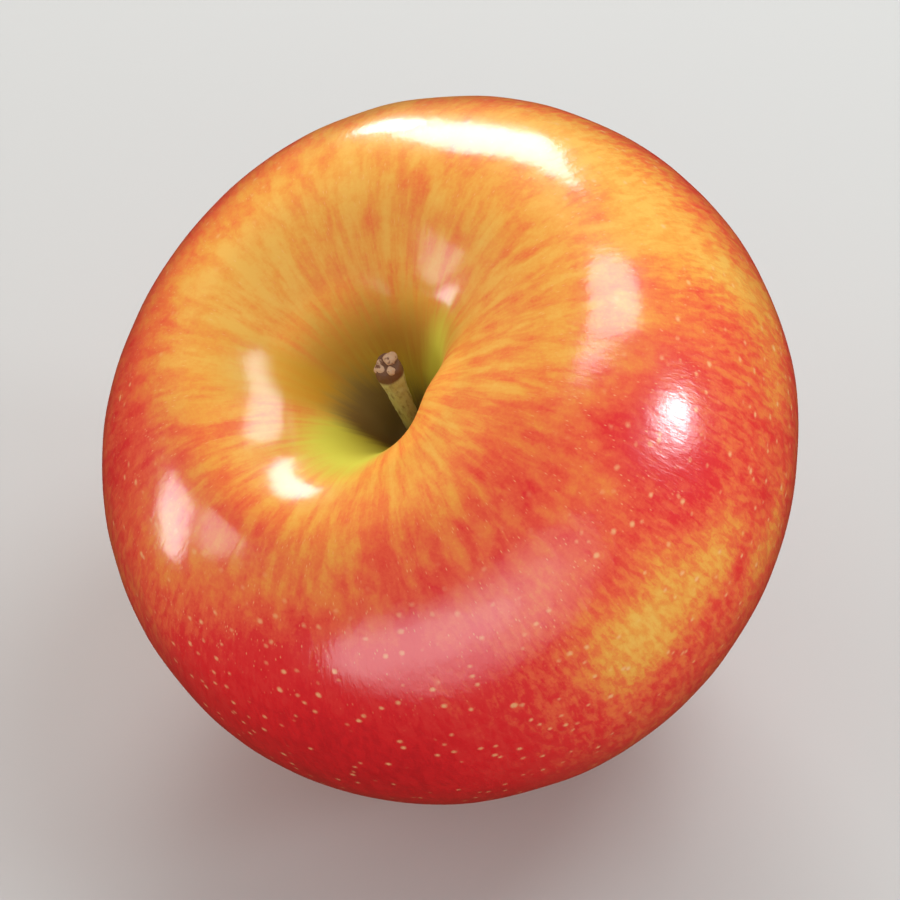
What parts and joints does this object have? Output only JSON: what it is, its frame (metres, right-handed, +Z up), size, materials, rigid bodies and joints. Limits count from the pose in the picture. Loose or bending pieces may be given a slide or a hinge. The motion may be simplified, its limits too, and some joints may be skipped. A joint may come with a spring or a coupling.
{
  "type": "apple",
  "caption": "Whole ripe dessert apple, lying tilted on a small flat spot: fruit with a deep oval stalk cavity and a lobed base, woody stalk, and dried calyx.",
  "frame": {"origin": "on the surface the apple lies on, under the middle of its bounding box", "axes": "+Z up; the picture looks along +Y and down; the core axis leans 26 degrees from +Z, towards -X and -Y"},
  "size_m": [0.0834, 0.0838, 0.0824],
  "materials": {
    "skin": null,
    "stalk_wood": "matt olive-brown bark with a pale cut end",
    "dry_calyx": null
  },
  "bodies": {
    "root": {"fruit": "skin", "stalk": "stalk_wood", "calyx": "dry_calyx"}
  },
  "joints": []
}
